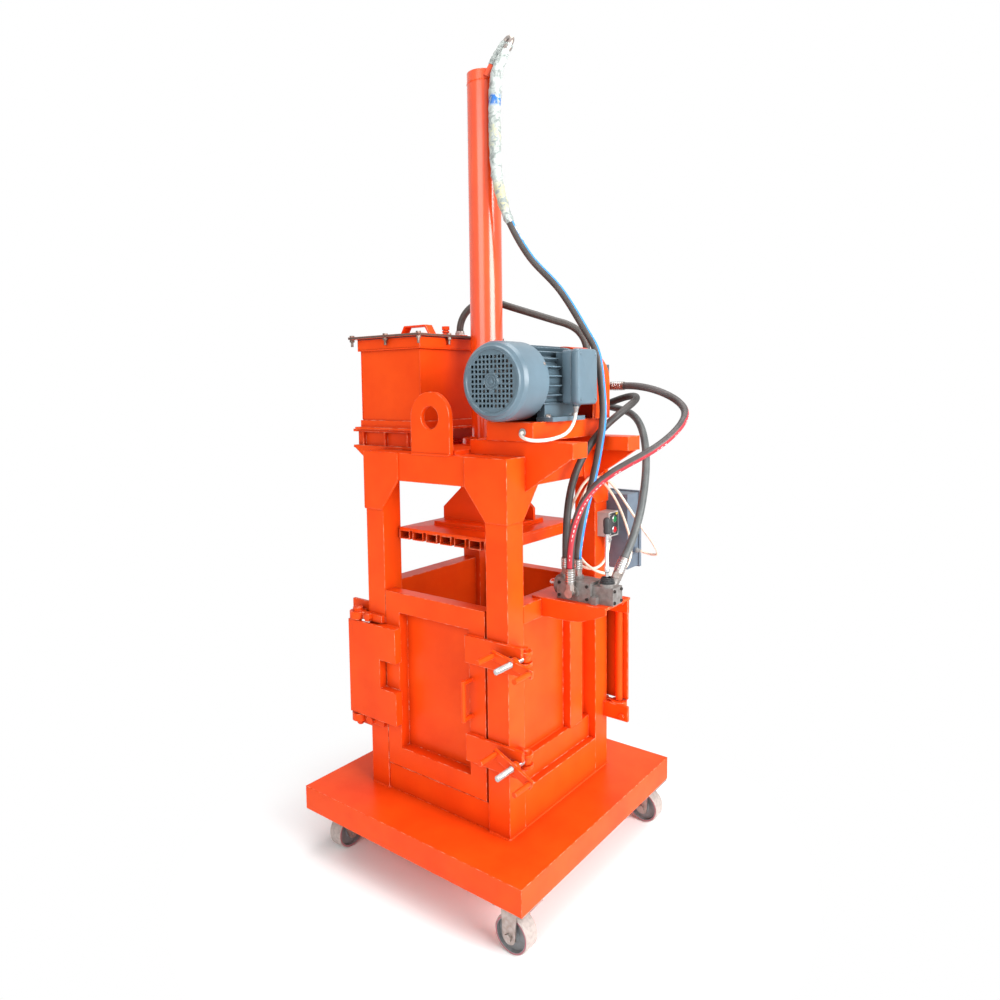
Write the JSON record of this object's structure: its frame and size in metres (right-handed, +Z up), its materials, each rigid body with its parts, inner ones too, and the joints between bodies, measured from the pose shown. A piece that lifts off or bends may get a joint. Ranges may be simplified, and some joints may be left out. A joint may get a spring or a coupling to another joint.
{
  "type": "vertical baling press",
  "caption": "Vertical hydraulic press for plastic bottles on a castor deck, with hinged latched doors, a top cylinder, motor pump set, oil tank and lever valve.",
  "frame": {"origin": "on the floor under the middle of the square deck and of the cylinder", "axes": "+Z up along the cylinder; -Y towards the front door; +X towards the valve and motor side"},
  "size_m": [0.9615, 0.8, 2.3784],
  "materials": {
    "orange_paint": "gloss orange enamel over welded mild steel",
    "zinc_steel": "zinc plated, lightly yellowed",
    "wheel_polymer": "cast polyurethane tread",
    "chromed_rod": "hard chrome",
    "motor_paint": "satin grey-blue enamel",
    "pump_aluminium": "die cast",
    "valve_casting": "phosphated",
    "black_rubber": "matte",
    "grey_hose": "smooth cover",
    "grey_plastic": "moulded",
    "green_plastic": "moulded",
    "red_plastic": "moulded",
    "slate_plastic": "moulded",
    "white_cable": "sheathed",
    "beige_cable": "sheathed"
  },
  "bodies": {
    "frame": {"deck": "orange_paint", "castor_brackets": "zinc_steel", "posts": "orange_paint", "top_beams": "orange_paint", "gussets": "orange_paint", "side_walls": "orange_paint", "chamber_floor": "orange_paint", "post_brackets": "orange_paint", "pins_bolts": "orange_paint", "ram_cylinder": "orange_paint", "lifting_lugs": "orange_paint", "rails": "orange_paint", "motor_base": "orange_paint", "motor_body": "motor_paint", "fan_cover": "motor_paint", "terminal_box": "motor_paint", "coupling_guard": "orange_paint", "gear_pump": "pump_aluminium", "tank_stand": "orange_paint", "tank_body": "orange_paint", "tank_lid": "orange_paint", "tank_bolts": "zinc_steel", "breather": "orange_paint", "valve_shelf": "orange_paint", "valve_body": "valve_casting", "lever_boot": "black_rubber", "fittings": "zinc_steel", "button_box": "grey_plastic", "enclosure": "slate_plastic", "cap_hose": "black_rubber", "rod_hose": "black_rubber", "pressure_hose": "black_rubber", "return_hose": "grey_hose", "suction_hose": "black_rubber", "motor_lead": "white_cable", "switch_lead": "beige_cable"},
    "ram": {"platen": "orange_paint", "piston_rod": "chromed_rod"},
    "front_door": {"front_door": "orange_paint"},
    "rear_door": {"rear_door": "orange_paint"},
    "swing_bolt_fu": {"swing_bolt_fu": "zinc_steel"},
    "swing_bolt_fl": {"swing_bolt_fl": "zinc_steel"},
    "swing_bolt_ru": {"swing_bolt_ru": "zinc_steel"},
    "swing_bolt_rl": {"swing_bolt_rl": "zinc_steel"},
    "wing_nut_fu": {"wing_nut_fu": "orange_paint"},
    "wing_nut_fl": {"wing_nut_fl": "orange_paint"},
    "wing_nut_ru": {"wing_nut_ru": "orange_paint"},
    "wing_nut_rl": {"wing_nut_rl": "orange_paint"},
    "swivel_fork_fl": {"swivel_fork_fl": "zinc_steel"},
    "swivel_fork_bl": {"swivel_fork_bl": "zinc_steel"},
    "wheel_fl": {"wheel_fl": "wheel_polymer"},
    "wheel_fr": {"wheel_fr": "wheel_polymer"},
    "wheel_bl": {"wheel_bl": "wheel_polymer"},
    "wheel_br": {"wheel_br": "wheel_polymer"},
    "rotor": {"rotor": "zinc_steel"},
    "lever": {"lever": "chromed_rod"},
    "start_button": {"start_button": "green_plastic"},
    "stop_button": {"stop_button": "red_plastic"}
  },
  "joints": [
    {"name": "ram_slide", "type": "slide", "parent": "frame", "child": "ram", "axis": [0, 0, -1], "range_m": [0, 0.62]},
    {"name": "front_door_hinge", "type": "hinge", "parent": "frame", "child": "front_door", "pos_m": [-0.298, -0.266, 0.556], "axis": [0, 0, -1], "range_deg": [0, 105]},
    {"name": "rear_door_hinge", "type": "hinge", "parent": "frame", "child": "rear_door", "pos_m": [0.298, 0.266, 0.556], "axis": [0, 0, -1], "range_deg": [0, 105]},
    {"name": "swing_bolt_fu_pivot", "type": "hinge", "parent": "frame", "child": "swing_bolt_fu", "pos_m": [0.294, -0.23, 0.692], "axis": [0, 0, 1], "range_deg": [0, 100]},
    {"name": "wing_nut_fu_turn", "type": "hinge", "parent": "swing_bolt_fu", "child": "wing_nut_fu", "pos_m": [0.294, -0.28, 0.692], "axis": [0, -1, 0], "continuous": true},
    {"name": "swing_bolt_fl_pivot", "type": "hinge", "parent": "frame", "child": "swing_bolt_fl", "pos_m": [0.294, -0.23, 0.42], "axis": [0, 0, 1], "range_deg": [0, 100]},
    {"name": "wing_nut_fl_turn", "type": "hinge", "parent": "swing_bolt_fl", "child": "wing_nut_fl", "pos_m": [0.294, -0.28, 0.42], "axis": [0, -1, 0], "continuous": true},
    {"name": "swing_bolt_ru_pivot", "type": "hinge", "parent": "frame", "child": "swing_bolt_ru", "pos_m": [-0.294, 0.23, 0.692], "axis": [0, 0, 1], "range_deg": [0, 100]},
    {"name": "wing_nut_ru_turn", "type": "hinge", "parent": "swing_bolt_ru", "child": "wing_nut_ru", "pos_m": [-0.294, 0.28, 0.692], "axis": [0, 1, 0], "continuous": true},
    {"name": "swing_bolt_rl_pivot", "type": "hinge", "parent": "frame", "child": "swing_bolt_rl", "pos_m": [-0.294, 0.23, 0.42], "axis": [0, 0, 1], "range_deg": [0, 100]},
    {"name": "wing_nut_rl_turn", "type": "hinge", "parent": "swing_bolt_rl", "child": "wing_nut_rl", "pos_m": [-0.294, 0.28, 0.42], "axis": [0, 1, 0], "continuous": true},
    {"name": "swivel_fl_turn", "type": "hinge", "parent": "frame", "child": "swivel_fork_fl", "pos_m": [-0.325, -0.335, 0.117], "axis": [0, 0, 1], "continuous": true},
    {"name": "swivel_bl_turn", "type": "hinge", "parent": "frame", "child": "swivel_fork_bl", "pos_m": [-0.325, 0.335, 0.117], "axis": [0, 0, 1], "continuous": true},
    {"name": "wheel_fl_spin", "type": "hinge", "parent": "swivel_fork_fl", "child": "wheel_fl", "pos_m": [-0.325, -0.309, 0.05], "axis": [1, 0, 0], "continuous": true},
    {"name": "wheel_bl_spin", "type": "hinge", "parent": "swivel_fork_bl", "child": "wheel_bl", "pos_m": [-0.351, 0.335, 0.05], "axis": [0, 1, 0], "continuous": true},
    {"name": "wheel_fr_spin", "type": "hinge", "parent": "frame", "child": "wheel_fr", "pos_m": [0.348, -0.352, 0.05], "axis": [0, 1, 0], "continuous": true},
    {"name": "wheel_br_spin", "type": "hinge", "parent": "frame", "child": "wheel_br", "pos_m": [0.348, 0.352, 0.05], "axis": [0, 1, 0], "continuous": true},
    {"name": "rotor_spin", "type": "hinge", "parent": "frame", "child": "rotor", "pos_m": [0.218, 0, 1.404], "axis": [0, 1, 0], "continuous": true},
    {"name": "lever_tilt", "type": "hinge", "parent": "frame", "child": "lever", "pos_m": [0.436, -0.054, 0.87], "axis": [0, 1, 0], "range_deg": [-15, 15], "stiffness_Nm_per_rad": 6},
    {"name": "start_button_press", "type": "slide", "parent": "frame", "child": "start_button", "axis": [-1, 0, 0], "range_m": [0, 0.004], "stiffness_N_per_m": 400},
    {"name": "stop_button_press", "type": "slide", "parent": "frame", "child": "stop_button", "axis": [-1, 0, 0], "range_m": [0, 0.004], "stiffness_N_per_m": 400}
  ]
}
